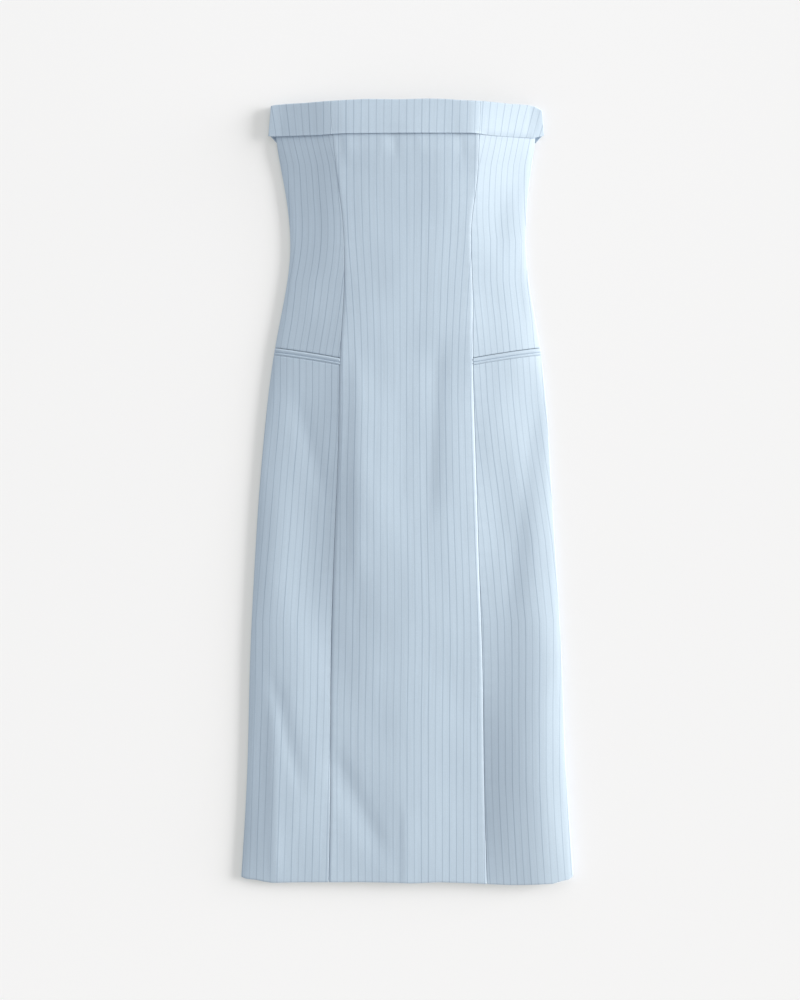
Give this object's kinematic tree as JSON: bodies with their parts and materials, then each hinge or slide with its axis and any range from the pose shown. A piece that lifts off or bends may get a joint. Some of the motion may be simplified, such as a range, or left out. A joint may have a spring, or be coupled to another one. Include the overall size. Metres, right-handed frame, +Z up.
{
  "type": "strapless dress",
  "caption": "Strapless midi dress laid flat on its back, with a turned-down cuff, princess seams and slanted welt pockets.",
  "frame": {"origin": "on the surface that the dress lies on, under the middle of its bounding box", "axes": "+Z up from the surface, out of the dress's front; +Y from the hem towards the neck; +X to the right, seen from above"},
  "size_m": [0.4566, 1.0768, 0.0327],
  "materials": {
    "suiting": "matt pale blue suiting with fine dark pinstripes",
    "zip_tape": "woven tape"
  },
  "bodies": {
    "root": {"centre_front": "suiting", "side_front_upper_left": "suiting", "side_front_upper_right": "suiting", "side_front_lower_left": "suiting", "side_front_lower_right": "suiting", "pocket_welt_upper_left": "suiting", "pocket_welt_upper_right": "suiting", "pocket_welt_lower_left": "suiting", "pocket_welt_lower_right": "suiting", "cuff_front_left": "suiting", "cuff_front_centre": "suiting", "cuff_front_right": "suiting", "cuff_back": "suiting", "back_left": "suiting", "back_right": "suiting", "back_zip": "zip_tape"}
  },
  "joints": []
}
